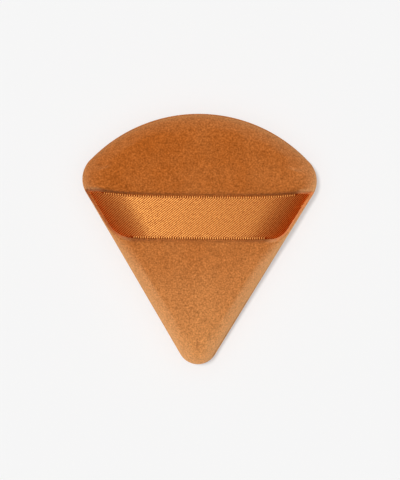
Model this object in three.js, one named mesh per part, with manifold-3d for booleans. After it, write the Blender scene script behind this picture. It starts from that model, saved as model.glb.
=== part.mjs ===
// Powder puff: a rounded-triangle pad of two velour panels round a foam core, with a satin ribbon sewn into
// both side seams as a finger strap. Millimetres, +Z up. The pad lies on its applicator face at z = 0, with
// its tip towards -Y and its round edge towards +Y. The origin is under the middle of the pad's outline box.
import * as THREE from 'three';
import { mergeVertices } from 'three/addons/utils/BufferGeometryUtils.js';
import Module from 'manifold-3d';

const wasm = await Module();
wasm.setup();

function quarterTurn(steps) {
  return Array.from({ length: steps + 1 }, (_, k) => (Math.PI / 2) * (k / steps));
}

// Outline of the stuffed pad at its widest, seen from above
const PAD_LENGTH = 75;
const PAD_WIDTH = 70.2;
const TIP_RADIUS = 6;
const CORNER_RADIUS = 8;
const ROUND_EDGE_RADIUS = 45;
const LEAST_RADIUS = 1; // of a corner that an inset line has used up

// Section of the pad
const SEAM_HEIGHT = 5.6; // middle of the side seam above the table
const SEAM_DEPTH = 1.4; // that the seam is drawn in from the widest line
const SEAM_ROLL = 1.3; // from the seam up, or down, to a panel's widest line
const UPPER_RISE = 5.9; // from the seam to the upper panel's shoulder
const UPPER_CROWN = 1.1; // that the middle of the upper panel would stand above its shoulder
const UPPER_RIM = 4.5; // width of the upper panel's rounded edge
const LOWER_RIM = 4.5; // width of the lower panel's rounded edge, outside its flat face

// Fabric, foam and thread
const VELOUR_THICKNESS = 1.2;
const STITCH_INSET = 2.8; // from the seam's fold to the stitch line
const PANEL_PAST_STITCH = 1.4; // that each panel's allowance runs in beyond the stitch line
const STITCH_LENGTH = 7.5;
const THREAD_DIAMETER = 0.4;
const THREAD_GAP = 0.15; // between a stitch and the fabric that it lies on
const CLEARANCE = 0.3; // between neighbouring pieces
const TURNING_GAP = 28; // stretch of the seam that is closed by hand after the foam goes in

// Ribbon strap, which lies in a channel that it presses into the upper panel
const RIBBON_WIDTH = 12.7;
const RIBBON_THICKNESS = 0.4;
const RIBBON_FROM_TIP = 43.8; // from the pad's tip to the ribbon's middle line
const RIBBON_BOW = 1.2; // that its ends are drawn towards the round edge
const BOW_POWER = 4; // how much of the bow is near the ends
const RIBBON_PAST_STITCH = 1.4; // that its tails run in beyond the stitch line
const RIBBON_BEND = 0.6; // radius of its turn round the fold of the seam
const RIBBON_TOP = 11.75; // its highest place above the table
const RIBBON_CROWN = 1.2; // that it sinks from the middle of the pad to the start of its fall
const RIBBON_FALL = 14; // length at each end over which it falls to the seam
const FALL_POWER = 3; // how much of the fall is near the seam

// Fineness of the meshes
const POINTS_ON = { tip: 4, side: 3, corner: 4, roundEdge: 10 };
const RIM_STEPS = 4;
const LINING_STEPS = 2;
const ROLL_STEPS = 2;
const INNER_RINGS = 2;
const RIBBON_STRIPS = 1;
const RIBBON_BEND_STEPS = 3;
const RIBBON_FALL_STEPS = 5;
const RIBBON_TOP_STEPS = 2; // from the start of its fall to the middle of the pad
const SAME_POINT = 1e-4;
const SAME_DIRECTION = 1e-3;

// Places that follow from the sizes above
const upperSeam = SEAM_HEIGHT + CLEARANCE / 2;
const lowerSeam = SEAM_HEIGHT - CLEARANCE / 2;
const tipEnd = -PAD_LENGTH / 2;
const tipCentre = tipEnd + TIP_RADIUS;
const roundEdgeCentre = PAD_LENGTH / 2 - ROUND_EDGE_RADIUS;
const ribbonMiddle = tipEnd + RIBBON_FROM_TIP;
const middle = new THREE.Vector2(0, ribbonMiddle);
const stitchInset = SEAM_DEPTH + STITCH_INSET;
const seamAllowance = stitchInset + PANEL_PAST_STITCH;
const holeRadius = THREAD_DIAMETER / 2 + CLEARANCE;
const threadReach = CLEARANCE / 2 + VELOUR_THICKNESS + THREAD_GAP + THREAD_DIAMETER; // from the seam's middle
const rimTurns = quarterTurn(RIM_STEPS);
const liningTurns = quarterTurn(LINING_STEPS);
const rollTurns = quarterTurn(ROLL_STEPS).slice(0, -1);

// Half angle at the tip: each side is tangent to the tip's circle and to a corner's, which is tangent to the
// round edge from inside.
const cornerX = PAD_WIDTH / 2 - CORNER_RADIUS;
const cornerY = roundEdgeCentre + Math.sqrt((ROUND_EDGE_RADIUS - CORNER_RADIUS) ** 2 - cornerX ** 2);
const tipToCorner = Math.hypot(cornerX, cornerY - tipCentre);
const halfAngle = Math.atan2(cornerX, cornerY - tipCentre)
  - Math.asin((TIP_RADIUS - CORNER_RADIUS) / tipToCorner);
const slant = 1 / Math.cos(halfAngle); // of a run square to a side, measured across the pad

// The pad's outline moved inwards, as a closed path that starts at the tip and runs by the right-hand side.
function padPath(inset) {
  const sin = Math.sin(halfAngle);
  const cos = Math.cos(halfAngle);
  const tipRadius = Math.max(TIP_RADIUS - inset, LEAST_RADIUS);
  const tipY = tipCentre + (tipRadius - TIP_RADIUS + inset) / sin;
  const edgeRadius = ROUND_EDGE_RADIUS - inset;
  const cornerRadius = Math.max(CORNER_RADIUS - inset, LEAST_RADIUS);

  // The corner's centre lies on a line along the side and on a circle inside the round edge.
  const fromSide = TIP_RADIUS - inset - cornerRadius;
  const start = new THREE.Vector2(cos * fromSide, tipCentre - roundEdgeCentre - sin * fromSide);
  const along = start.x * sin + start.y * cos;
  const reach = edgeRadius - cornerRadius;
  const run = -along + Math.sqrt(along ** 2 - start.lengthSq() + reach ** 2);
  const corner = new THREE.Vector2(start.x + run * sin, start.y + run * cos);
  const edgeAngle = Math.atan2(corner.y, corner.x);
  const y = corner.y + roundEdgeCentre;

  const tip = new THREE.ArcCurve(0, tipY, tipRadius, Math.PI + halfAngle, 2 * Math.PI - halfAngle);
  const right = new THREE.ArcCurve(corner.x, y, cornerRadius, -halfAngle, edgeAngle);
  const edge = new THREE.ArcCurve(0, roundEdgeCentre, edgeRadius, edgeAngle, Math.PI - edgeAngle);
  const left = new THREE.ArcCurve(-corner.x, y, cornerRadius, Math.PI - edgeAngle, Math.PI + halfAngle);
  const side = (from, to) => new THREE.LineCurve(from.getPoint(1), to.getPoint(0));
  const path = new THREE.CurvePath();
  path.curves = [tip, side(tip, right), right, edge, left, side(left, tip)];
  return path;
}

// Points round the inset outline, with as many on the tip, sides, corners and round edge at any inset.
function padOutline(inset) {
  const { tip, side, corner, roundEdge } = POINTS_ON;
  const counts = [tip, side, corner, roundEdge, corner, side];
  return padPath(inset).curves.flatMap((curve, i) => curve.getPoints(counts[i]).slice(0, -1));
}

// Half the pad's width at a place along its length, up to the ends of its corners.
function halfWidth(y) {
  const sin = Math.sin(halfAngle);
  const aboveCorner = y - cornerY;
  if (aboveCorner > -CORNER_RADIUS * sin) {
    return cornerX + Math.sqrt(Math.max(CORNER_RADIUS ** 2 - aboveCorner ** 2, 0));
  }
  return (TIP_RADIUS + (y - tipCentre) * sin) / Math.cos(halfAngle);
}

// The ribbon's middle line bows towards the round edge at its ends.
function ribbonLine(x) {
  return ribbonMiddle + RIBBON_BOW * Math.min(1, Math.abs(x) / halfWidth(ribbonMiddle)) ** BOW_POWER;
}

// Heights of the pad's faces inside their rounded edges, of their linings, and of the foam between them.
function upperFace(x, y) {
  const outwards = Math.hypot(x / (PAD_WIDTH / 2), (y - ribbonMiddle) / (PAD_LENGTH / 2));
  return upperSeam + UPPER_RISE + UPPER_CROWN * Math.max(0, 1 - outwards ** 2);
}
const upperLining = (x, y) => upperFace(x, y) - VELOUR_THICKNESS;
const upperFoam = (x, y) => upperLining(x, y) - CLEARANCE;
const lowerFace = () => 0;
const lowerLining = () => VELOUR_THICKNESS;
const lowerFoam = () => VELOUR_THICKNESS + CLEARANCE;

// A level ring of points round the inset outline.
function levelRing(inset, z) {
  return padOutline(inset).map((p) => new THREE.Vector3(p.x, p.y, z));
}

// Rings from the fold of the seam out to a panel's widest line, as a quarter ellipse.
function rollRings(seam, roll) {
  return rollTurns.map((turn) => (
    levelRing(SEAM_DEPTH * (1 - Math.sin(turn)), seam + roll * (1 - Math.cos(turn)))
  ));
}

// Rings from a level in to the shoulder of a face, as a quarter ellipse.
function rimRings(turns, inset, width, level, face) {
  return turns.map((turn) => (
    padOutline(inset + (width - inset) * (1 - Math.cos(turn))).map((p) => (
      new THREE.Vector3(p.x, p.y, THREE.MathUtils.lerp(level, face(p.x, p.y), Math.sin(turn)))
    ))
  ));
}

// Rings from the upper panel's shoulder to just short of its middle.
function innerRings(face) {
  const shoulder = padOutline(UPPER_RIM);
  return Array.from({ length: INNER_RINGS - 1 }, (_, k) => (
    shoulder.map((p) => {
      const { x, y } = p.clone().lerp(middle, (k + 1) / INNER_RINGS);
      return new THREE.Vector3(x, y, face(x, y));
    })
  ));
}

function middlePoint(face) {
  return new THREE.Vector3(middle.x, middle.y, face(middle.x, middle.y));
}

// A closed skin from a first point, over rings of equal count, to a last point. Rings run anticlockwise seen
// from the last point, and each four-cornered face is split along its shorter diagonal.
function skin(first, rings, last) {
  const count = rings[0].length;
  const points = [first, ...rings.flat(), last];
  const index = [];
  for (let i = 0; i < count; i++) {
    const j = (i + 1) % count;
    index.push(0, 1 + j, 1 + i);
    for (let r = 0; r + 1 < rings.length; r++) {
      const [a, b, c, d] = [i, j, count + j, count + i].map((n) => 1 + r * count + n);
      const acrossAC = points[a].distanceTo(points[c]);
      const acrossBD = points[b].distanceTo(points[d]);
      index.push(...(acrossAC < acrossBD ? [a, b, c, a, c, d] : [a, b, d, b, c, d]));
    }
    const end = 1 + (rings.length - 1) * count;
    index.push(points.length - 1, end + i, end + j);
  }
  return new THREE.BufferGeometry().setFromPoints(points).setIndex(index);
}

function solidOf(geometry) {
  const bare = new THREE.BufferGeometry().setAttribute('position', geometry.getAttribute('position'));
  const merged = mergeVertices(bare.setIndex(geometry.getIndex()), SAME_POINT);
  return new wasm.Manifold(new wasm.Mesh({
    numProp: 3,
    vertProperties: new Float32Array(merged.getAttribute('position').array),
    triVerts: new Uint32Array(merged.getIndex().array),
  }));
}

function geometryOf(solid) {
  const { numProp, numVert, vertProperties, triVerts } = solid.getMesh();
  const position = new Float32Array(numVert * 3);
  for (let i = 0; i < numVert; i++) {
    position.set(vertProperties.subarray(i * numProp, i * numProp + 3), i * 3);
  }
  return new THREE.BufferGeometry()
    .setAttribute('position', new THREE.BufferAttribute(position, 3))
    .setIndex(new THREE.BufferAttribute(triVerts, 1));
}

// Stitch points round the pad, evenly spaced along the stitch line, each with the line's direction there.
function stitchPoints() {
  const path = padPath(stitchInset);
  const count = Math.round(path.getLength() / STITCH_LENGTH);
  const points = path.getSpacedPoints(count).slice(0, -1);
  return points.map((p, i) => ({
    place: p,
    along: points[(i + 1) % count].clone().sub(points[(i + count - 1) % count]).normalize(),
  }));
}

// Needle holes through both seam allowances and the ribbon's tails.
function needleHoles(stitches) {
  const height = 2 * (VELOUR_THICKNESS + THREAD_GAP) + CLEARANCE;
  const posts = stitches.map(({ place, along }) => {
    const post = new THREE.CylinderGeometry(holeRadius * Math.SQRT2, holeRadius * Math.SQRT2, height, 4);
    post.rotateY(Math.PI / 4).rotateX(Math.PI / 2).rotateZ(Math.atan2(along.y, along.x));
    return solidOf(post.translate(place.x, place.y, SEAM_HEIGHT));
  });
  return posts.reduce((all, post) => all.add(post));
}

// Heights of the thread at a stitch point: it runs over the allowances and under them in turn.
function stitchLevels(i, count, reach) {
  const leaving = i % 2 === 0 ? reach : -reach;
  if (i === 0) return [leaving];
  if (i === count - 1) return [-leaving];
  return [-leaving, leaving];
}

// One running stitch, as a square thread with mitred corners where it goes down or up through a needle hole.
function runningStitch(stitches) {
  const half = THREAD_DIAMETER / 2;
  const reach = threadReach - half;
  const line = stitches.flatMap(({ place, along }, i) => {
    const side = new THREE.Vector3(along.y, -along.x, 0);
    const levels = stitchLevels(i, stitches.length, reach);
    return levels.map((z) => ({ at: new THREE.Vector3(place.x, place.y, SEAM_HEIGHT + z), side }));
  });
  const normals = line.slice(1).map(({ at, side }, i) => (
    side.clone().cross(at.clone().sub(line[i].at)).normalize()
  ));
  const rings = line.map(({ at, side }, i) => {
    const arriving = normals[Math.max(i - 1, 0)];
    const leaving = normals[Math.min(i, normals.length - 1)];
    const mitre = arriving.clone().add(leaving).divideScalar(1 + arriving.dot(leaving));
    const cornerAt = (s, m) => at.clone().addScaledVector(side, s * half).addScaledVector(mitre, m * half);
    return [cornerAt(1, 1), cornerAt(1, -1), cornerAt(-1, -1), cornerAt(-1, 1)];
  });
  return skin(line[0].at, rings, line.at(-1).at);
}

// The upper panel before it is hollowed: a full cushion from its seam to its crown.
function upperCushion() {
  const rings = [
    ...rollRings(upperSeam, SEAM_ROLL),
    ...rimRings(rimTurns, 0, UPPER_RIM, upperSeam + SEAM_ROLL, upperFace),
    ...innerRings(upperFace),
  ];
  return skin(middlePoint(() => upperSeam), rings, middlePoint(upperFace));
}

// The hollow of the upper panel, open through the gap inside its seam allowance.
function upperHollow() {
  const inside = upperSeam + VELOUR_THICKNESS;
  const below = upperSeam - CLEARANCE;
  const rings = [
    levelRing(seamAllowance, below),
    levelRing(seamAllowance, inside),
    ...rimRings(liningTurns, VELOUR_THICKNESS, UPPER_RIM, inside, upperLining),
    ...innerRings(upperLining),
  ];
  return skin(middlePoint(() => below), rings, middlePoint(upperLining));
}

// Lower panel: flat applicator face with a rounded edge, and an allowance turned in at the seam.
function lowerPanel() {
  const inside = lowerSeam - VELOUR_THICKNESS;
  const face = [
    ...rollRings(lowerSeam, -SEAM_ROLL),
    ...rimRings(rimTurns, 0, LOWER_RIM, lowerSeam - SEAM_ROLL, lowerFace),
  ];
  const allowance = [levelRing(seamAllowance, lowerSeam), levelRing(seamAllowance, inside)];
  const lining = rimRings(liningTurns, VELOUR_THICKNESS, LOWER_RIM, inside, lowerLining);
  const rings = [...face.reverse(), ...allowance, ...lining];
  return skin(middlePoint(lowerFace), rings, middlePoint(lowerLining));
}

// Foam core: fills both panels, with a waist inside their seam allowances and the thread on them.
function foamCore() {
  const edge = VELOUR_THICKNESS + 2 * CLEARANCE;
  const waist = seamAllowance + THREAD_DIAMETER + CLEARANCE;
  const top = SEAM_HEIGHT + threadReach + CLEARANCE;
  const bottom = SEAM_HEIGHT - threadReach - CLEARANCE;
  const rings = [
    ...rimRings(liningTurns, edge, LOWER_RIM, bottom, lowerFoam).reverse(),
    levelRing(waist, bottom),
    levelRing(waist, top),
    ...rimRings(liningTurns, edge, UPPER_RIM, top, upperFoam),
    ...innerRings(upperFoam),
  ];
  return skin(middlePoint(lowerFoam), rings, middlePoint(upperFoam));
}

// Room over the upper panel's allowance for the thread, which the channel would fill with velour.
function threadRoom() {
  const levels = [upperSeam + VELOUR_THICKNESS, SEAM_HEIGHT + threadReach + THREAD_GAP];
  const rings = levels.map((z) => levelRing(stitchInset - holeRadius, z));
  const [from, to] = levels.map((z) => middlePoint(() => z));
  return solidOf(skin(from, rings, to));
}

// Where one line along the ribbon leaves the right-hand seam, at a place across its width. The ends run along
// the side seams, so each line leaves at its own place.
function ribbonFold(across) {
  const y = ribbonLine(halfWidth(ribbonMiddle)) + across;
  return new THREE.Vector3(halfWidth(y) - SEAM_DEPTH * slant, y, SEAM_HEIGHT);
}

// The right half of one line along the ribbon's middle surface, from the seam to the middle of the pad.
function ribbonSpan(across) {
  const fold = ribbonFold(across);
  const foot = SEAM_HEIGHT + RIBBON_BEND;
  const height = RIBBON_TOP - RIBBON_THICKNESS / 2 - RIBBON_BEND - foot;
  const fallStart = fold.x - RIBBON_FALL;
  const sink = (x) => RIBBON_CROWN * Math.min(1, (x / fallStart) ** 2);
  const span = [];
  for (let k = 0; k <= RIBBON_FALL_STEPS; k++) {
    const left = 1 - k / RIBBON_FALL_STEPS;
    const x = fallStart + RIBBON_FALL * left;
    const rise = height - sink(x);
    const slope = Math.atan(rise * FALL_POWER * left ** (FALL_POWER - 1) / RIBBON_FALL);
    const z = foot + rise * (1 - left ** FALL_POWER) + RIBBON_BEND * Math.cos(slope);
    span.push(new THREE.Vector3(x + RIBBON_BEND * Math.sin(slope) * slant, ribbonLine(x) + across, z));
  }
  for (let k = 1; k <= RIBBON_TOP_STEPS; k++) {
    const x = fallStart * (1 - k / RIBBON_TOP_STEPS);
    span.push(new THREE.Vector3(x, ribbonLine(x) + across, foot + height - sink(x) + RIBBON_BEND));
  }
  return span;
}

// The right half of the same line below the span: the tail in the seam, and the turn round the fold.
function ribbonTail(across, past) {
  const fold = ribbonFold(across);
  const inwards = (run) => new THREE.Vector3(fold.x - run * slant, fold.y, SEAM_HEIGHT);
  const tail = [inwards(STITCH_INSET + RIBBON_PAST_STITCH + past), inwards(STITCH_INSET), inwards(0)];
  const [first, second] = ribbonSpan(across);
  const steepest = Math.atan2(second.z - first.z, (first.x - second.x) / slant);
  for (let k = 1; k < RIBBON_BEND_STEPS; k++) {
    const turn = (Math.PI - steepest) * (k / RIBBON_BEND_STEPS);
    const x = fold.x + RIBBON_BEND * Math.sin(turn) * slant;
    tail.push(new THREE.Vector3(x, fold.y, SEAM_HEIGHT + RIBBON_BEND * (1 - Math.cos(turn))));
  }
  return tail;
}

// Both halves of a line across the pad.
function mirrored(half) {
  return [...half, ...half.slice(0, -1).reverse().map((p) => new THREE.Vector3(-p.x, p.y, p.z))];
}

// Lines along the ribbon, side by side across its width, which may be grown on both sides.
function ribbonLines(grown, lineAt) {
  const width = RIBBON_WIDTH + 2 * grown;
  return Array.from({ length: RIBBON_STRIPS + 1 }, (_, i) => (
    mirrored(lineAt(width * (i / RIBBON_STRIPS - 0.5)))
  ));
}

// A band along such lines, from a distance under them up to its upper face.
function band(lines, below, upperAt) {
  const widthways = new THREE.Vector3(0, 1, 0);
  const sections = lines[0].map((_, k) => {
    const outwards = lines.map((line) => {
      const before = line[Math.max(k - 1, 0)];
      const after = line[Math.min(k + 1, line.length - 1)];
      return widthways.clone().cross(after.clone().sub(before)).normalize();
    });
    const under = lines.map((line, i) => line[k].clone().addScaledVector(outwards[i], -below));
    const over = lines.map((line, i) => upperAt(line[k], outwards[i]));
    return [...over, ...under.reverse()];
  });
  const ends = [sections[0], sections.at(-1)].map((section) => (
    new THREE.Box3().setFromPoints(section).getCenter(new THREE.Vector3())
  ));
  return skin(ends[0], sections, ends[1]);
}

// Ribbon strap: its tails lie between the seam allowances and its span in the channel. Grown on all sides by a
// clearance, it is the room that the ribbon takes from the panels.
function ribbonStrap(grown = 0) {
  const half = RIBBON_THICKNESS / 2 + grown;
  const lines = ribbonLines(grown, (across) => [...ribbonTail(across, grown), ...ribbonSpan(across)]);
  return band(lines, half, (p, outwards) => p.clone().addScaledVector(outwards, half));
}

// Channel over the ribbon, out past the sides of the pad and up past its crown.
function channel(grown) {
  const height = 2 * (SEAM_HEIGHT + UPPER_RISE);
  const below = RIBBON_THICKNESS / 2 + grown;
  const lines = ribbonLines(grown, (across) => {
    const fold = ribbonFold(across);
    const outside = [PAD_WIDTH / 2, 2 * RIBBON_BEND].map((run) => (
      new THREE.Vector3(fold.x + run, fold.y, SEAM_HEIGHT)
    ));
    return [...outside, ...ribbonSpan(across)];
  });
  return solidOf(band(lines, below, (p) => new THREE.Vector3(p.x, p.y, height)));
}

const velour = new THREE.MeshStandardMaterial({ color: 0xc0763d, roughness: 0.95, metalness: 0 });
const satin = new THREE.MeshStandardMaterial({ color: 0xd88f4e, roughness: 0.35, metalness: 0 });
const foam = new THREE.MeshStandardMaterial({ color: 0xf0e2c8, roughness: 0.9, metalness: 0 });
const thread = new THREE.MeshStandardMaterial({ color: 0xa8602c, roughness: 0.8, metalness: 0 });

function piece(name, geometry, material) {
  const mesh = new THREE.Mesh(geometry, material);
  mesh.name = name;
  return mesh;
}

// The turning gap is on the right-hand side, between the tip and the ribbon. The seam thread sews the rest.
const stitches = stitchPoints();
const closingCount = Math.round(TURNING_GAP / STITCH_LENGTH);
const sideDirection = new THREE.Vector2(Math.sin(halfAngle), Math.cos(halfAngle));
const sideStart = stitches.findIndex(({ along }) => along.distanceTo(sideDirection) < SAME_DIRECTION);
const sideEnd = sideStart + closingCount;
const closing = stitches.slice(sideStart, sideEnd);
const sewn = [...stitches.slice(sideEnd), ...stitches.slice(0, sideStart)];

const holes = needleHoles(stitches);
const ribbonRoom = solidOf(ribbonStrap(CLEARANCE));
const hollow = solidOf(upperHollow()).subtract(channel(CLEARANCE + VELOUR_THICKNESS)).add(threadRoom());
const upperPanel = solidOf(upperCushion()).subtract(channel(CLEARANCE)).subtract(hollow);
const filling = solidOf(foamCore()).subtract(channel(CLEARANCE + VELOUR_THICKNESS + CLEARANCE));
const lessHoles = (solid) => geometryOf(solid.subtract(holes));

const puff = new THREE.Group();
puff.add(
  piece('upper_velour_panel', lessHoles(upperPanel.subtract(ribbonRoom)), velour),
  piece('lower_velour_panel', lessHoles(solidOf(lowerPanel()).subtract(ribbonRoom)), velour),
  piece('foam_core', geometryOf(filling), foam),
  piece('ribbon_strap', lessHoles(solidOf(ribbonStrap())), satin),
  piece('seam_thread', runningStitch(sewn), thread),
  piece('closing_thread', runningStitch(closing), thread),
);

export default puff;
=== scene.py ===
import math

import bpy
import numpy as np
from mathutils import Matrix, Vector


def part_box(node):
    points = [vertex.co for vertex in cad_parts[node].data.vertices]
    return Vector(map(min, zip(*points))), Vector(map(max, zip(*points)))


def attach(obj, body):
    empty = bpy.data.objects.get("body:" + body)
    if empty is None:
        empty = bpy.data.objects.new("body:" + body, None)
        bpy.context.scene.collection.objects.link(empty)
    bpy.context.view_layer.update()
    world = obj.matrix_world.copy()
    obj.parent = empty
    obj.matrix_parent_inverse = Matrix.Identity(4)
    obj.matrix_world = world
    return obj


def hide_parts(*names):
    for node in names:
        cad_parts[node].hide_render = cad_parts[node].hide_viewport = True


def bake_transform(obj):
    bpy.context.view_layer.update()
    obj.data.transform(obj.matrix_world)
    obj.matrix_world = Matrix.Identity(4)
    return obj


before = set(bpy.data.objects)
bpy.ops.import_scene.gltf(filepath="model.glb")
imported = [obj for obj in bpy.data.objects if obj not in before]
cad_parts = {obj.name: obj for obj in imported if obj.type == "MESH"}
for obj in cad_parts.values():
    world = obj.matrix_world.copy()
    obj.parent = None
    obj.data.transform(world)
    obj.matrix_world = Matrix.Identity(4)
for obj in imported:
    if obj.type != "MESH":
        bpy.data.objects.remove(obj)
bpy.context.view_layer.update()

MM = 0.001
MERGE_DISTANCE = 0.01 * MM
FINE_DISTANCE = 0.001 * MM

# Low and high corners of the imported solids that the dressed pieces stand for
LOWER_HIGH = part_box("lower_velour_panel")[1]
UPPER_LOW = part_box("upper_velour_panel")[0]
STRAP_LOW, STRAP_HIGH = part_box("ribbon_strap")

# The puff's outline: a round edge, two round corners and straight sides that meet in a small round tip
HALF_LENGTH = LOWER_HIGH.y
HALF_WIDTH = LOWER_HIGH.x
TIP_RADIUS = 6 * MM
CORNER_RADIUS = 8 * MM
ROUND_EDGE_RADIUS = 45 * MM
ARC_POINTS = 90
TIP_Y = TIP_RADIUS - HALF_LENGTH
ROUND_EDGE_Y = HALF_LENGTH - ROUND_EDGE_RADIUS
CORNER_X = HALF_WIDTH - CORNER_RADIUS
CORNER_Y = ROUND_EDGE_Y + math.sqrt((ROUND_EDGE_RADIUS - CORNER_RADIUS) ** 2 - CORNER_X ** 2)
SIDE_ANGLE = math.atan2(CORNER_X, CORNER_Y - TIP_Y) - math.asin(
    (TIP_RADIUS - CORNER_RADIUS) / math.hypot(CORNER_X, CORNER_Y - TIP_Y)
)

# The stuffed pad
SEAM_Z = (UPPER_LOW.z + LOWER_HIGH.z) / 2
RIM = 4.5 * MM  # width of the rounded edge
OUTLINE_POINTS = 400
RIM_STEPS = 18
ROLL_STEPS = 5
GRID_TURN = OUTLINE_POINTS // 8  # where the grid that fills a half starts on its outline
EVENING = 600  # passes that even out that grid
UPPER_RISE = 5.7 * MM  # from the seam to the shoulder of the back
UPPER_CROWN = 0.9 * MM  # from the shoulder to the top of the back
SHOULDER_BAND = 0.1 * MM  # depth below the shoulder that still counts as the top
SEAM_DEPTH = 1.4 * MM  # that the seam is drawn in from the widest line
SEAM_ROLL = 1.3 * MM  # from the seam to the widest line of each half
SEAM_GAP = 0.03 * MM  # between the two halves
SEAM_HELD = 0.4 * MM  # height over the seam, up to which the cloth is held
FOAM_ROOM = 0.2 * MM  # round the foam core
SHARP_ANGLE = math.radians(60)  # from which an edge stays sharp

# The ribbon
RIBBON_WIDTH = 12.7 * MM
RIBBON_THICKNESS = 0.3 * MM
RIBBON_MIDDLE_Y = STRAP_LOW.y + RIBBON_WIDTH / 2
RIBBON_BOW = STRAP_HIGH.y - STRAP_LOW.y - RIBBON_WIDTH
RIBBON_REACH = STRAP_HIGH.x
BOW_POWER = 4
RIBBON_TOP_Z = STRAP_HIGH.z - RIBBON_THICKNESS / 2
RIBBON_TUCK = 0.25 * MM  # from the deepest line of the seam out to the ribbon's turn
RIBBON_END_INSET = (SEAM_DEPTH - RIBBON_TUCK) / math.cos(SIDE_ANGLE)
RIBBON_FALL = 14 * MM  # length at each end over which it falls to the seam
LEFT_FALL_POWER = 2.15  # how much of the fall is near the seam
RIGHT_FALL_POWER = 3.2
RIBBON_CROWN = 2.2  # metres that it would sink at a metre from its middle
RIBBON_HUMP = 0.15 * MM  # from its middle line down to its edges
RIBBON_TAIL = 2.0 * MM  # that turns in at each seam
TAIL_DROP = 0.3 * RIBBON_THICKNESS
TAIL_DROP_SHARE = 1 / 4  # of the tail, over which it drops
RIBBON_COLUMNS = 180
TAIL_COLUMNS = 4
RIBBON_ROWS = 32
END_FITS = 6  # times that its ends are fitted to the slanting sides

# The groove that the ribbon presses into the pad
GROOVE_GAP = 0.15 * MM  # between the ribbon and the plush below it
GROOVE_SIDE = 0.2 * MM  # between the ribbon's edges and the plush beside them
GROOVE_WALL = 0.45 * MM  # width of the groove's steep edge
GROOVE_LEAST = 0.06 * MM  # plush that is left over the seam at its ends
LEFT_LIP = 4.3 * MM  # how far the plush rounds the groove's lower corners
RIGHT_LIP = 3.0 * MM
LIP_TAPER = 0.04  # how fast the groove's ends open out from their lower corners
DRAWN_REACH = 3 * MM  # from the groove's wall, within which faces are drawn towards it
DRAWN_POWER = 1.6  # how close they come
SLOPE_STEP = 0.05 * MM  # over which the way to the wall is measured

# Colours, as linear red, green, blue and alpha
VELOUR_DEEP = (0.42, 0.105, 0.014, 1)
# pale end of the pile's colour, reached through its marks and through a painted sheen towards the tip and to
# the right
VELOUR_PALE = (0.65, 0.27, 0.085, 1)
# painted sheen on the pile's rims
PAINTED_RIM_SHEEN = (1.0, 0.485, 0.20, 1)
SATIN_GROUND = (0.24, 0.026, 0.0012, 1)
SATIN_FLOAT = (0.5, 0.068, 0.0034, 1)
SATIN_GLOSS = (0.98, 0.495, 0.135, 1)
SELVAGE = (0.70, 0.26, 0.06, 1)
VELOUR_SHEEN = (1.0, 0.65, 0.3, 1)
FOAM = (0.85, 0.80, 0.68, 1)
SEWING_THREAD = (0.40, 0.12, 0.03, 1)

# Grain in the finishes
NOISE_DETAIL = 2
PLAIN_SHADE = 0.5  # how much it shades the stuffs inside the cover

# The pile: sizes of its marks, how much each lifts it to its pale colour (the lift to the right is a painted
# sheen), and how much each shades it
BRUSHED_SIZE = 9 * MM
TUFT_SIZE = 1.1 * MM
GRAIN_SIZE = 0.5 * MM
PILE_RELIEF = 0.15 * MM
NAP_LEAST = 0.05
# painted sheen: the pile paler towards the right
PAINTED_SHEEN_RIGHTWARD = 0.08
NAP_BRUSHED = 0.3
NAP_GRAIN = 0.4
GRAIN_SHADE = 1.3
TUFT_SHADE = 0.5

# The pale painted sheen on the pile's rims, mixed into its colour as the surface turns from the view
SHEEN_WIDTH = (0.7 * RIM, 1.4 * RIM)  # from the sides, where it starts to fade and where it has gone
SHEEN_ABOVE_STRAP = (STRAP_HIGH.y + RIM / 2, STRAP_HIGH.y + RIM)
SHEEN_STRENGTH = 1.2
SHEEN_TO_RIGHT = 0.4
SHEEN_ON_ROUND_EDGE = 0.3
SHEEN_GROWS = (0.15, 0.35)  # shares of the way to the tip
SHEEN_EVENS = 0.6  # how much it hides the grain

# The ribbon's weave: slanting rows of short floats, four warp ends to a row
TWILL_ANGLE = math.radians(38.8)
TWILL_PITCH = 0.53 * MM
TWILL_ENDS = 4
TWILL_RUN = TWILL_PITCH / math.sin(TWILL_ANGLE)
END_PITCH = TWILL_PITCH / math.cos(TWILL_ANGLE) / TWILL_ENDS
FLOAT_EDGE = 0.58  # height of the weave from which it shines
FLOAT_SPLIT = 4  # how sharply floats stand out from the ground
FLOAT_ROUGHNESS = 0.49
FLOAT_RELIEF = 0.08 * MM
FLOAT_LEAST = 0.8  # height of a float between two warp yarns
YARN_LIFT = 0.4  # that it gains on a yarn
YARN_UNEVEN = 0.8
UNEVEN_SIZE = 0.7 * MM
SATIN_IOR = 3.15
EDGE_WIDTHS = (0.7 * MM, 0.4 * MM)  # from the ribbon's edge, where the plain edge starts and where it is full

# The weft loops that show along the ribbon's edges
LOOP_PITCH = 0.69 * MM
LOOP_SIZE = (0.22 * MM, 0.4 * MM, 0.12 * MM)
LOOP_SEGMENTS = 8
LOOP_RINGS = 6
LOOP_INSET = 0.3 * MM
LOOPLESS_ENDS = {1: 4.3 * MM, -1: 6.2 * MM}  # of the upper and the lower row
LOOP_MARKS = 1.4 * MM  # size of the uneven patches in their colour
LOOP_PALE = 0.8  # how far they are the selvage's colour, not the floats'
LOOP_UNEVEN = 1.6

# The studio
PAPER = (0.922, 0.922, 0.922, 1)
PAPER_GLOW = 0.45  # how far it shows as lit evenly
FLOOR_SIZE = 2
SKY_LOW = 0.15
SKY_OVERHEAD = 0.5
SKY_EDGE = (0.55, 0.9)  # heights between which the sky brightens
KEY_STRENGTH = 1.98
KEY_ANGLE = math.radians(8.5)
KEY_FROM = (-0.175, 0.085, 1)
CAMERA_OVER = (0.32 * MM, -0.29 * MM)
CAMERA_DISTANCE = 0.6
CAMERA_ROLL = math.radians(0.62)
VIEW_HEIGHT = 143.4 * MM
SENSOR = 36

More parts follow.
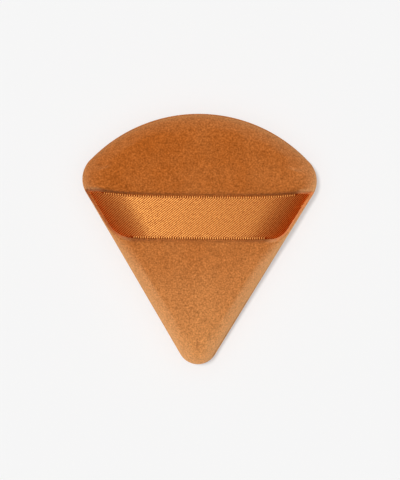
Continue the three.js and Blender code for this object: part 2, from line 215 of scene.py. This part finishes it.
# Inflating the cover as cloth, made larger because cloth settings suit objects of about a metre
CLOTH_SCALE = 20
CLOTH_FRAMES = 20
CLOTH_QUALITY = 6
CLOTH_PRESSURE = 4
CLOTH_BENDING = 20
MOST_SWELL = 0.6 * MM  # farthest that the cloth may move
LEAST_SWELL = 1e-9  # stands in for 0 where a movement is divided by
SMOOTHING = 5  # passes over the swollen plush


# The courses of the outline and the ribbon
def smooth(value):
    """0 below 0, 1 above 1, and an even S between."""
    held = np.clip(value, 0, 1)
    return held * held * (3 - 2 * held)


def arc(centre, radius, start, end):
    """Points along part of a circle."""
    turn = np.linspace(start, end, ARC_POINTS)
    return np.column_stack([centre[0] + radius * np.cos(turn), centre[1] + radius * np.sin(turn)])


def pad_outline(count):
    """Points evenly spaced round the puff's edge, anticlockwise from the tip as seen from above."""
    corner_turn = math.atan2(CORNER_Y - ROUND_EDGE_Y, CORNER_X)
    right = np.vstack([
        arc((0, TIP_Y), TIP_RADIUS, -math.pi / 2, -SIDE_ANGLE),
        arc((CORNER_X, CORNER_Y), CORNER_RADIUS, -SIDE_ANGLE, corner_turn),
        arc((0, ROUND_EDGE_Y), ROUND_EDGE_RADIUS, corner_turn, math.pi / 2),
    ])
    left = right[::-1] * [-1, 1]
    loop = np.vstack([right, left[1:]])
    run = np.concatenate([[0], np.cumsum(np.linalg.norm(np.diff(loop, axis=0), axis=1))])
    places = np.linspace(0, run[-1], count, endpoint=False)
    return np.column_stack([np.interp(places, run, loop[:, 0]), np.interp(places, run, loop[:, 1])])


def half_width(y):
    """Half the puff's width at a height y up its straight sides and corners."""
    straight = (TIP_RADIUS + (y - TIP_Y) * math.sin(SIDE_ANGLE)) / math.cos(SIDE_ANGLE)
    past = np.clip((y - CORNER_Y) / CORNER_RADIUS, -1, 1)
    corner = CORNER_X + CORNER_RADIUS * np.sqrt(1 - past ** 2)
    return np.where(y < CORNER_Y - CORNER_RADIUS * math.sin(SIDE_ANGLE), straight, corner)


def ribbon_line(x):
    """The y of the ribbon's middle line, which bows towards the round edge at its ends."""
    return RIBBON_MIDDLE_Y + RIBBON_BOW * np.minimum(1, np.abs(x) / half_width(RIBBON_MIDDLE_Y)) ** BOW_POWER


def ribbon_height(x, y):
    """The z of the ribbon's middle layer: near level on top, falling to the side seams at its ends."""
    from_end = np.clip(half_width(y) - RIBBON_END_INSET - np.abs(x), 0, RIBBON_FALL)
    fallen = (1 - from_end / RIBBON_FALL) ** np.where(x < 0, LEFT_FALL_POWER, RIGHT_FALL_POWER)
    across = np.clip((y - ribbon_line(x)) / (RIBBON_WIDTH / 2), -1, 1)
    crowned = RIBBON_TOP_Z - RIBBON_CROWN * x ** 2 - RIBBON_HUMP * across ** 2
    return SEAM_Z + (crowned - SEAM_Z) * (1 - fallen)


# Helpers for modelling
def start_fresh():
    """Nothing selected and no mode open, so that the next operator acts on the new piece alone."""
    if bpy.context.object and bpy.context.object.mode != "OBJECT":
        bpy.ops.object.mode_set(mode="OBJECT")
    bpy.ops.object.select_all(action="DESELECT")


def pick(piece):
    """Makes one piece the only selected and the active one."""
    start_fresh()
    piece.select_set(True)
    bpy.context.view_layer.objects.active = piece


def places_of(piece):
    """The piece's vertices as an array."""
    flat = np.zeros(len(piece.data.vertices) * 3)
    piece.data.vertices.foreach_get("co", flat)
    return flat.reshape(-1, 3)


def move_to(piece, places):
    """Puts the piece's vertices at new places."""
    piece.data.vertices.foreach_set("co", np.asarray(places, float).ravel())
    piece.data.update()


def finish_modifier(piece, kind, **settings):
    """Adds one modifier and applies it."""
    pick(piece)
    made = piece.modifiers.new(kind.title(), kind)
    for name, value in settings.items():
        setattr(made, name, value)
    bpy.ops.object.modifier_apply(modifier=made.name)


def copy_of(piece, name):
    """A second object with its own mesh."""
    made = piece.copy()
    made.data = piece.data.copy()
    made.name = name
    bpy.context.scene.collection.objects.link(made)
    return made


# The two halves of the pad
def rolled_band(level, inset, rise, steps):
    """One band of a half: the widest outline at a level, turned in along a quarter of an ellipse."""
    start_fresh()
    bpy.ops.mesh.primitive_circle_add(vertices=OUTLINE_POINTS, radius=HALF_WIDTH, fill_type="NGON")
    band = bpy.context.object
    outline = pad_outline(OUTLINE_POINTS)
    move_to(band, np.column_stack([outline, np.full(OUTLINE_POINTS, level)]))
    bpy.ops.object.mode_set(mode="EDIT")
    bpy.ops.mesh.select_all(action="SELECT")
    turns = np.linspace(0, math.pi / 2, steps + 1)
    insets = inset * (1 - np.cos(turns))
    heights = rise * np.sin(turns)
    for inward, upward in zip(np.diff(insets), np.diff(heights)):
        bpy.ops.mesh.inset(thickness=inward, depth=upward, use_even_offset=True, use_boundary=True)
    bpy.ops.mesh.delete(type="ONLY_FACE")
    bpy.ops.object.mode_set(mode="OBJECT")
    return band


def fill_level(band, level):
    """Fills the loop of a band at one level with an even grid of faces."""
    pick(band)
    chosen = np.abs(places_of(band)[:, 2] - level) < MERGE_DISTANCE
    band.data.vertices.foreach_set("select", chosen)
    bpy.ops.object.mode_set(mode="EDIT")
    bpy.ops.mesh.select_mode(type="VERT")
    bpy.ops.mesh.fill_grid(span=OUTLINE_POINTS // 4, offset=GRID_TURN)
    bpy.ops.object.mode_set(mode="OBJECT")
    added = np.arange(len(band.data.vertices)) >= len(chosen)
    smooth_vertices(band, added, EVENING)


def smooth_vertices(piece, chosen, times):
    """Evens out the chosen vertices, and holds the others."""
    pick(piece)
    piece.data.polygons.foreach_set("select", np.zeros(len(piece.data.polygons), bool))
    piece.data.edges.foreach_set("select", np.zeros(len(piece.data.edges), bool))
    piece.data.vertices.foreach_set("select", chosen)
    bpy.ops.object.mode_set(mode="EDIT")
    bpy.ops.mesh.select_mode(type="VERT")
    bpy.ops.mesh.vertices_smooth(factor=0.5, repeat=times)
    bpy.ops.object.mode_set(mode="OBJECT")


def pad_half(name, level, rise, seam_rise):
    """Half of the stuffed pad: a rim with its flat face, and a roll that turns in to the seam."""
    half = rolled_band(level, RIM, rise, RIM_STEPS)
    fill_level(half, level + rise)
    roll = rolled_band(level, SEAM_DEPTH, seam_rise, ROLL_STEPS)
    pick(half)
    roll.select_set(True)
    bpy.ops.object.join()
    bpy.ops.object.mode_set(mode="EDIT")
    bpy.ops.mesh.select_all(action="SELECT")
    bpy.ops.mesh.remove_doubles(threshold=MERGE_DISTANCE)
    bpy.ops.mesh.normals_make_consistent(inside=False)
    bpy.ops.object.mode_set(mode="OBJECT")
    half.name = name
    return half


def soft_least(first, second, blend):
    """The lesser of two distances, with the corner between them rounded."""
    mixed = np.clip(0.5 + (second - first) / (2 * blend), 0, 1)
    return second + (first - second) * mixed - blend * mixed * (1 - mixed)


def within_groove(x, y):
    """How far inside the ribbon's groove a point lies, from above; the plush rounds the lower corners."""
    across = y - ribbon_line(x)
    reach = RIBBON_WIDTH / 2 + GROOVE_SIDE
    above_lower = reach + across
    from_side = above_lower * LIP_TAPER - beyond_end(x, y)
    lip = np.where(x < 0, LEFT_LIP, RIGHT_LIP)
    return np.minimum(soft_least(above_lower, from_side, lip), reach - across)


def beyond_end(x, y):
    """How far a point lies outside the line where the ribbon goes into the side seam."""
    return (np.abs(x) + RIBBON_END_INSET - half_width(y)) * math.cos(SIDE_ANGLE)


def groove_floor(x, y):
    """The height that the ribbon presses the plush down to, with a little left over the seam at its ends."""
    return np.maximum(ribbon_height(x, y) - RIBBON_THICKNESS / 2 - GROOVE_GAP, SEAM_Z + GROOVE_LEAST)


def crown(pad):
    """Crowns the pad's upper side, with its faces drawn closer together along the groove's wall."""
    x, y, z = places_of(pad).T
    depth = within_groove(x, y) + GROOVE_WALL / 2
    slope_x = (within_groove(x + SLOPE_STEP, y) - within_groove(x - SLOPE_STEP, y)) / (2 * SLOPE_STEP)
    slope_y = (within_groove(x, y + SLOPE_STEP) - within_groove(x, y - SLOPE_STEP)) / (2 * SLOPE_STEP)
    share = np.clip(np.abs(depth) / DRAWN_REACH, 0, 1)
    wanted = np.sign(depth) * DRAWN_REACH * share ** DRAWN_POWER
    off_rim = smooth((half_width(y) - np.abs(x)) / RIM - 1) * (z > SEAM_Z + UPPER_RISE - SHOULDER_BAND)
    shift = np.where(share < 1, wanted - depth, 0) * off_rim
    x = x + shift * slope_x
    y = y + shift * slope_y
    risen = np.clip((z - SEAM_Z) / UPPER_RISE, 0, 1)
    dome = np.clip(1 - (x / HALF_WIDTH) ** 2 - ((y - RIBBON_MIDDLE_Y) / HALF_LENGTH) ** 2, 0, 1)
    move_to(pad, np.column_stack([x, y, z + UPPER_CROWN * dome * risen]))


def press_groove(pad):
    """Presses the ribbon's groove into the pad."""
    x, y, z = places_of(pad).T
    under = smooth(1 + within_groove(x, y) / GROOVE_WALL)
    pressed = z - under * np.clip(z - groove_floor(x, y), 0, None)
    move_to(pad, np.column_stack([x, y, pressed]))


def even_lobes(pad):
    """Smooths the swollen plush beside the groove, and leaves the groove and the seam as they are."""
    x, y, z = places_of(pad).T
    free = (z > SEAM_Z + SEAM_HELD) & (within_groove(x, y) < -GROOVE_WALL)
    smooth_vertices(pad, free, SMOOTHING)


def swell(pad):
    """Inflates the back as cloth that is held at the seam and under the ribbon."""
    start = places_of(pad)
    x, y, z = start.T
    held = (z < SEAM_Z + SEAM_HELD) | (within_groove(x, y) > 0)
    pins = pad.vertex_groups.new(name="held")
    pins.add(np.nonzero(held)[0].tolist(), 1.0, "REPLACE")
    move_to(pad, start * CLOTH_SCALE)
    cloth = pad.modifiers.new("Cloth", "CLOTH")
    cloth.settings.quality = CLOTH_QUALITY
    cloth.settings.use_pressure = True
    cloth.settings.uniform_pressure_force = CLOTH_PRESSURE
    cloth.settings.vertex_group_mass = pins.name
    cloth.settings.effector_weights.gravity = 0
    cloth.settings.bending_stiffness = CLOTH_BENDING
    cloth.collision_settings.use_collision = False
    scene = bpy.context.scene
    for step in range(1, CLOTH_FRAMES + 1):
        scene.frame_set(step)
    pick(pad)
    bpy.ops.object.modifier_apply(modifier=cloth.name)
    scene.frame_set(1)
    swollen = places_of(pad) / CLOTH_SCALE
    moved = swollen - start
    length = np.linalg.norm(moved, axis=1, keepdims=True)
    moved *= np.minimum(1, MOST_SWELL / np.maximum(length, LEAST_SWELL))
    move_to(pad, start + moved)
    pad.vertex_groups.clear()


def foam_hollow():
    """The space that the foam core takes inside the cover, a little larger than the core."""
    hollow = copy_of(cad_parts["foam_core"], "foam_hollow")
    hollow.parent = None
    pick(hollow)
    bpy.ops.object.mode_set(mode="EDIT")
    bpy.ops.mesh.select_all(action="SELECT")
    bpy.ops.mesh.remove_doubles(threshold=FINE_DISTANCE)
    bpy.ops.object.mode_set(mode="OBJECT")
    finish_modifier(hollow, "DISPLACE", strength=FOAM_ROOM, mid_level=0)
    return hollow


def close_half(half, level, above, hollow):
    """Trims a half at the seam, closes it there and leaves the foam's room inside it."""
    pick(half)
    bpy.ops.object.mode_set(mode="EDIT")
    bpy.ops.mesh.select_all(action="SELECT")
    bpy.ops.mesh.bisect(
        plane_co=(0, 0, level), plane_no=(0, 0, 1), use_fill=True,
        clear_inner=above, clear_outer=not above, threshold=FINE_DISTANCE,
    )
    bpy.ops.object.mode_set(mode="OBJECT")
    finish_modifier(half, "BOOLEAN", operation="DIFFERENCE", object=hollow, solver="EXACT")
    bpy.ops.object.shade_smooth_by_angle(angle=SHARP_ANGLE)


# The ribbon and the loops along its edges
def ribbon_strip():
    """The ribbon over the pad, with its ends turned into the side seams."""
    start_fresh()
    columns = RIBBON_COLUMNS + 2 * TAIL_COLUMNS
    bpy.ops.mesh.primitive_grid_add(x_subdivisions=columns, y_subdivisions=RIBBON_ROWS, size=2)
    strip = bpy.context.object
    strip.name = "satin_ribbon"
    grid = places_of(strip)
    along = grid[:, 0] * columns / RIBBON_COLUMNS
    across = grid[:, 1] * RIBBON_WIDTH / 2
    shown = np.clip(along, -1, 1)
    x = shown * RIBBON_REACH
    for repeat in range(END_FITS):
        y = ribbon_line(x) + across
        x = shown * (half_width(y) - RIBBON_END_INSET)
    z = ribbon_height(x, y)
    tail = np.clip((np.abs(along) - 1) / (2 * TAIL_COLUMNS / RIBBON_COLUMNS), 0, 1)
    x = x - np.sign(x) * tail * RIBBON_TAIL
    z = z - np.minimum(tail / TAIL_DROP_SHARE, 1) * TAIL_DROP
    move_to(strip, np.column_stack([x, y, z]))
    length = lay_weave_map(strip, grid[:, 0], across)
    finish_modifier(strip, "SOLIDIFY", thickness=RIBBON_THICKNESS, offset=0)
    bpy.ops.object.shade_smooth()
    return strip, length


def lay_weave_map(strip, order, across):
    """Lays the weave's map on the ribbon, true to length along each row; gives the longest row's length."""
    places = places_of(strip)
    run = np.zeros(len(places))
    for row in np.unique(across):
        members = np.nonzero(across == row)[0]
        members = members[np.argsort(order[members])]
        steps = np.linalg.norm(np.diff(places[members], axis=0), axis=1)
        reached = np.concatenate([[0], np.cumsum(steps)])
        run[members] = reached - reached[-1] / 2
    length = 2 * run.max()
    corners = np.zeros(len(strip.data.loops), int)
    strip.data.loops.foreach_get("vertex_index", corners)
    weave = np.column_stack([0.5 + run / length, 0.5 + across / RIBBON_WIDTH])[corners]
    strip.data.uv_layers.active.data.foreach_set("uv", weave.ravel())
    return length


def loop_reach(side):
    """How far the weft loops of one edge run from the middle of the ribbon."""
    edge = side * (RIBBON_WIDTH / 2 - LOOP_INSET)
    return float(half_width(RIBBON_MIDDLE_Y + edge)) - LOOPLESS_ENDS[side]


def selvage_row(side):
    """One row of weft loops along an edge of the ribbon: the upper one for side 1, the lower one for -1."""
    edge = side * (RIBBON_WIDTH / 2 - LOOP_INSET)
    each_way = int(loop_reach(side) / LOOP_PITCH)
    start_fresh()
    bpy.ops.mesh.primitive_uv_sphere_add(segments=LOOP_SEGMENTS, ring_count=LOOP_RINGS, radius=1)
    row = bpy.context.object
    move_to(row, places_of(row) * LOOP_SIZE - [each_way * LOOP_PITCH, 0, 0])
    finish_modifier(
        row, "ARRAY", count=2 * each_way + 1, use_relative_offset=False,
        use_constant_offset=True, constant_offset_displace=(LOOP_PITCH, 0, 0),
    )
    x, across, up = places_of(row).T
    y = ribbon_line(x) + edge
    move_to(row, np.column_stack([x, y + across, ribbon_height(x, y) + RIBBON_THICKNESS / 2 + up]))
    bpy.ops.object.shade_smooth()
    return row


def ribbon_selvage():
    """The rows of weft loops along both edges, as one piece."""
    upper = selvage_row(1)
    lower = selvage_row(-1)
    pick(upper)
    lower.select_set(True)
    bpy.ops.object.join()
    upper.name = "ribbon_selvage"
    return upper


# The pieces, built in turn
ribbon, ribbon_length = ribbon_strip()
selvage = ribbon_selvage()
velour_back = pad_half("velour_back", SEAM_Z + SEAM_ROLL, UPPER_RISE - SEAM_ROLL, -SEAM_ROLL)
velour_face = pad_half("velour_face", SEAM_Z - SEAM_ROLL, SEAM_ROLL - SEAM_Z, SEAM_ROLL)
crown(velour_back)
press_groove(velour_back)
swell(velour_back)
even_lobes(velour_back)
press_groove(velour_back)
finish_modifier(velour_back, "SUBSURF", levels=1, render_levels=1)
hollow = foam_hollow()
close_half(velour_back, SEAM_Z + SEAM_GAP / 2, True, hollow)
close_half(velour_face, SEAM_Z - SEAM_GAP / 2, False, hollow)
bpy.data.objects.remove(hollow)


# The finishes
class Signal:
    """A shader socket that carries a value; arithmetic on it adds Math nodes to its graph."""

    def __init__(self, graph, socket):
        self.graph = graph
        self.socket = socket

    def math(self, operation, *values):
        return self.graph.node("ShaderNodeMath", {"operation": operation}, dict(enumerate(values)))

    def __add__(self, other):
        return self.math("ADD", self, other)

    def __radd__(self, other):
        return self.math("ADD", other, self)

    def __sub__(self, other):
        return self.math("SUBTRACT", self, other)

    def __rsub__(self, other):
        return self.math("SUBTRACT", other, self)

    def __mul__(self, other):
        return self.math("MULTIPLY", self, other)

    def __rmul__(self, other):
        return self.math("MULTIPLY", other, self)

    def __truediv__(self, other):
        return self.math("DIVIDE", self, other)

    def __abs__(self):
        return self.math("ABSOLUTE", self)

    def whole(self):
        """The whole number below it."""
        return self.math("FLOOR", self)

    def part(self):
        """What is left over its whole number."""
        return self.math("FRACT", self)

    def hump(self):
        """For a part from 0 to 1: up to 1 in the middle and down to 0 again."""
        return self * (1 - self) * 4

    def held(self):
        """Kept between 0 and 1."""
        return self.graph.node("ShaderNodeClamp", {}, {"Value": self})

    def ramp(self, low, high):
        """An even S from 0 at a low value to 1 at a high one."""
        inputs = {"Value": self, "From Min": low, "From Max": high}
        return self.graph.node("ShaderNodeMapRange", {"interpolation_type": "SMOOTHSTEP"}, inputs)


class Graph:
    """A node tree in the making."""

    def __init__(self, tree):
        self.tree = tree

    def node(self, kind, settings, inputs, output=0):
        """Adds a node, sets it up, then sets or links its sockets, and gives one of its outputs."""
        made = self.tree.nodes.new(kind)
        for name, value in settings.items():
            setattr(made, name, value)
        for name, value in inputs.items():
            if isinstance(value, Signal):
                self.tree.links.new(value.socket, made.inputs[name])
            else:
                made.inputs[name].default_value = value
        return Signal(self, made.outputs[output])

    def mix(self, factor, first, second):
        """A colour between two others."""
        return self.node("ShaderNodeMix", {"data_type": "RGBA"}, {0: factor, 6: first, 7: second}, 2)

    def noise(self, place, size):
        """Soft noise with features of about one size, in metres, spread evenly about 0."""
        inputs = {"Vector": place, "Scale": 1 / size, "Detail": NOISE_DETAIL}
        return self.node("ShaderNodeTexNoise", {}, inputs, "Fac") - 0.5


class Finish(Graph):
    """A material in the making, with the shader at its end."""

    def __init__(self, name, constants):
        self.material = bpy.data.materials.new(name)
        self.material.use_nodes = True
        super().__init__(self.material.node_tree)
        self.shader = self.tree.nodes["Principled BSDF"]
        for socket, value in constants.items():
            self.shader.inputs[socket].default_value = value

    def feed(self, socket, signal):
        """Links a signal to one of the shader's sockets."""
        self.tree.links.new(signal.socket, self.shader.inputs[socket])

    def overlay(self, factor, other):
        """Shows another shader in place of its own, as far as the factor goes from 0 to 1."""
        own = Signal(self, self.shader.outputs[0])
        both = self.node("ShaderNodeMixShader", {}, {0: factor, 1: own, 2: other})
        self.tree.links.new(both.socket, self.tree.nodes["Material Output"].inputs["Surface"])


def velour_finish():
    """Short dense pile: grain, brushed patches, a painted sheen that pales it towards the tip, and painted
    sheen on the rims.
    """
    velour = Finish("velour", {
        "Roughness": 0.95,
        "Sheen Weight": 0.12,
        "Sheen Roughness": 0.6,
        "Sheen Tint": VELOUR_SHEEN,
        "Specular IOR Level": 0.0,
    })
    place = velour.node("ShaderNodeTexCoord", {}, {}, "Object")
    sideways = velour.node("ShaderNodeSeparateXYZ", {}, {"Vector": place}, "X")
    upward = velour.node("ShaderNodeSeparateXYZ", {}, {"Vector": place}, "Y")
    to_tip = (HALF_LENGTH - upward) / (2 * HALF_LENGTH)
    to_right = sideways / HALF_WIDTH
    straight_side = (TIP_RADIUS + (upward - TIP_Y) * math.sin(SIDE_ANGLE)) / math.cos(SIDE_ANGLE)
    beside = 1 - (straight_side - abs(sideways)).ramp(*SHEEN_WIDTH)
    on_rim = (beside + upward.ramp(*SHEEN_ABOVE_STRAP)).held()
    brushed = velour.noise(place, BRUSHED_SIZE)
    grain = velour.noise(place, GRAIN_SIZE)
    tufts = velour.noise(place, TUFT_SIZE)
    marks = brushed * NAP_BRUSHED + grain * NAP_GRAIN
    # Painted sheen: paler towards the tip and to the right, added to the real brushed and grain marks
    sheen_and_marks = to_tip * to_tip + to_right * PAINTED_SHEEN_RIGHTWARD + marks + NAP_LEAST
    colour = velour.mix(sheen_and_marks.held(), VELOUR_DEEP, VELOUR_PALE)
    # Painted sheen on the rims: a paler colour mixed in as the surface turns from the view, stronger towards
    # the tip and to the right
    turned = velour.node("ShaderNodeLayerWeight", {}, {"Blend": 0.5}, "Facing")
    lower_down = SHEEN_ON_ROUND_EDGE + (1 - SHEEN_ON_ROUND_EDGE) * to_tip.ramp(*SHEEN_GROWS)
    sheen = turned * on_rim * lower_down * (SHEEN_STRENGTH + to_right * SHEEN_TO_RIGHT)
    rim = sheen.held()
    painted_sheen_colour = velour.mix(rim, colour, PAINTED_RIM_SHEEN)
    value = 1 + (grain * GRAIN_SHADE + tufts * TUFT_SHADE) * (1 - rim * SHEEN_EVENS)
    speckled = velour.node("ShaderNodeHueSaturation", {}, {"Value": value, "Color": painted_sheen_colour})
    velour.feed("Base Color", speckled)
    relief = velour.node("ShaderNodeBump", {}, {
        "Strength": 0.5, "Distance": PILE_RELIEF, "Height": grain + tufts,
    })
    velour.feed("Normal", relief)
    return velour.material


def satin_finish():
    """Satin twill: slanting rows of shiny floats over a dull ground, and a plain edge under the loops."""
    satin = Finish("satin", {
        "Base Color": SATIN_FLOAT,
        "Roughness": FLOAT_ROUGHNESS,
        "IOR": SATIN_IOR,
        "Specular IOR Level": 1.0,
        "Specular Tint": SATIN_GLOSS,
    })
    weave = satin.node("ShaderNodeTexCoord", {}, {}, "UV")
    along = satin.node("ShaderNodeSeparateXYZ", {}, {"Vector": weave}, "X") * ribbon_length
    across = satin.node("ShaderNodeSeparateXYZ", {}, {"Vector": weave}, "Y") * RIBBON_WIDTH
    ends = across / END_PITCH
    lifted = (ends.whole() / TWILL_ENDS - along / TWILL_RUN).part().hump()
    yarn = ends.part().hump()
    cloth = satin.node("ShaderNodeCombineXYZ", {}, {"X": along, "Y": across})
    uneven = satin.noise(cloth, UNEVEN_SIZE)
    place = satin.node("ShaderNodeTexCoord", {}, {}, "Object")
    sideways = satin.node("ShaderNodeSeparateXYZ", {}, {"Vector": place}, "X")
    looped_to = loop_reach(-1) + (loop_reach(1) - loop_reach(-1)) * (across / RIBBON_WIDTH)
    loopless = (abs(sideways) - looped_to).ramp(0, LOOP_PITCH)
    edge_starts, edge_full = (RIBBON_WIDTH / 2 - width for width in EDGE_WIDTHS)
    at_edge = abs(across - RIBBON_WIDTH / 2).ramp(edge_starts, edge_full)
    inside = 1 - at_edge * (1 - loopless)
    raised = lifted * (FLOAT_LEAST + YARN_LIFT * yarn) + uneven * YARN_UNEVEN - FLOAT_EDGE
    shiny = (raised * FLOAT_SPLIT).held() * inside
    relief = satin.node("ShaderNodeBump", {}, {
        "Strength": 0.3, "Distance": FLOAT_RELIEF, "Height": lifted * yarn,
    })
    satin.feed("Normal", relief)
    ground = satin.node("ShaderNodeBsdfPrincipled", {}, {
        "Base Color": SATIN_GROUND, "Roughness": 1.0, "Specular IOR Level": 0.0, "Normal": relief,
    })
    satin.overlay(1 - shiny, ground)
    return satin.material


def selvage_finish():
    """Shiny weft yarn, a little uneven from loop to loop."""
    yarn = Finish("selvage_yarn", {
        "Roughness": FLOAT_ROUGHNESS,
        "IOR": SATIN_IOR,
        "Specular IOR Level": 1.0,
        "Specular Tint": SATIN_GLOSS,
    })
    place = yarn.node("ShaderNodeTexCoord", {}, {}, "Object")
    uneven = yarn.noise(place, LOOP_MARKS)
    paler = (LOOP_PALE + uneven * LOOP_UNEVEN).held()
    yarn.feed("Base Color", yarn.mix(paler, SATIN_FLOAT, SELVAGE))
    return yarn.material


def plain_finish(name, colour, roughness, grain_size):
    """A soft plain stuff with a little grain in its colour, for what lies inside the cover."""
    stuff = Finish(name, {"Roughness": roughness})
    place = stuff.node("ShaderNodeTexCoord", {}, {}, "Object")
    value = 1 + stuff.noise(place, grain_size) * PLAIN_SHADE
    shaded = stuff.node("ShaderNodeHueSaturation", {}, {"Value": value, "Color": colour})
    stuff.feed("Base Color", shaded)
    return stuff.material


def dress(piece, material):
    """Gives a piece its one material."""
    piece.data.materials.clear()
    piece.data.materials.append(material)


# What each piece is made of, rides on and stands for
velour = velour_finish()
dress(velour_back, velour)
dress(velour_face, velour)
dress(ribbon, satin_finish())
dress(selvage, selvage_finish())
dress(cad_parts["foam_core"], plain_finish("foam", FOAM, roughness=0.9, grain_size=1.2 * MM))
thread = plain_finish("sewing_thread", SEWING_THREAD, roughness=0.6, grain_size=0.3 * MM)
dress(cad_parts["seam_thread"], thread)
dress(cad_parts["closing_thread"], thread)

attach(velour_back, "puff")
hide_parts("upper_velour_panel")
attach(velour_face, "puff")
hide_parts("lower_velour_panel")
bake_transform(ribbon)
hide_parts("ribbon_strap")
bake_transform(selvage)


# The floor, the light and the camera
def studio_floor():
    """A plain pale sheet that keeps the puff's shadow."""
    start_fresh()
    bpy.ops.mesh.primitive_plane_add(size=FLOOR_SIZE)
    sheet = bpy.context.object
    sheet.name = "floor"
    paper = Finish("floor_paper", {"Base Color": PAPER, "Roughness": 0.95})
    path = {name: paper.node("ShaderNodeLightPath", {}, {}, name) for name in (
        "Is Camera Ray", "Is Glossy Ray", "Is Transmission Ray",
    )}
    seen = path["Is Camera Ray"] + path["Is Glossy Ray"] + path["Is Transmission Ray"]
    glow = paper.node("ShaderNodeEmission", {}, {"Color": PAPER, "Strength": 1.0})
    paper.overlay(seen.held() * PAPER_GLOW, glow)
    sheet.data.materials.append(paper.material)


def studio_light():
    """Soft light that comes mostly from overhead, and a key light from the upper left."""
    scene = bpy.context.scene
    scene.world = bpy.data.worlds.new("studio")
    scene.world.use_nodes = True
    sky = Graph(scene.world.node_tree)
    towards = sky.node("ShaderNodeTexCoord", {}, {}, "Generated")
    upward = sky.node("ShaderNodeSeparateXYZ", {}, {"Vector": towards}, "Z")
    strength = SKY_LOW + SKY_OVERHEAD * upward.ramp(*SKY_EDGE)
    around = sky.tree.nodes["Background"]
    around.inputs["Color"].default_value = (1, 1, 1, 1)
    sky.tree.links.new(strength.socket, around.inputs["Strength"])
    start_fresh()
    bpy.ops.object.light_add(type="SUN")
    key = bpy.context.object
    key.name = "key_light"
    key.data.energy = KEY_STRENGTH
    key.data.angle = KEY_ANGLE
    key.rotation_euler = Vector(KEY_FROM).to_track_quat("Z", "Y").to_euler()


def photo_camera():
    """Straight down on the puff, as in the photograph."""
    bpy.ops.object.camera_add(location=(*CAMERA_OVER, CAMERA_DISTANCE))
    camera = bpy.context.object
    camera.name = "photo_camera"
    camera.rotation_euler = (0, 0, CAMERA_ROLL)
    camera.data.sensor_width = SENSOR
    camera.data.lens = SENSOR * (CAMERA_DISTANCE - SEAM_Z) / VIEW_HEIGHT
    bpy.context.scene.camera = camera


bpy.context.scene.view_settings.view_transform = "Standard"
studio_floor()
studio_light()
photo_camera()
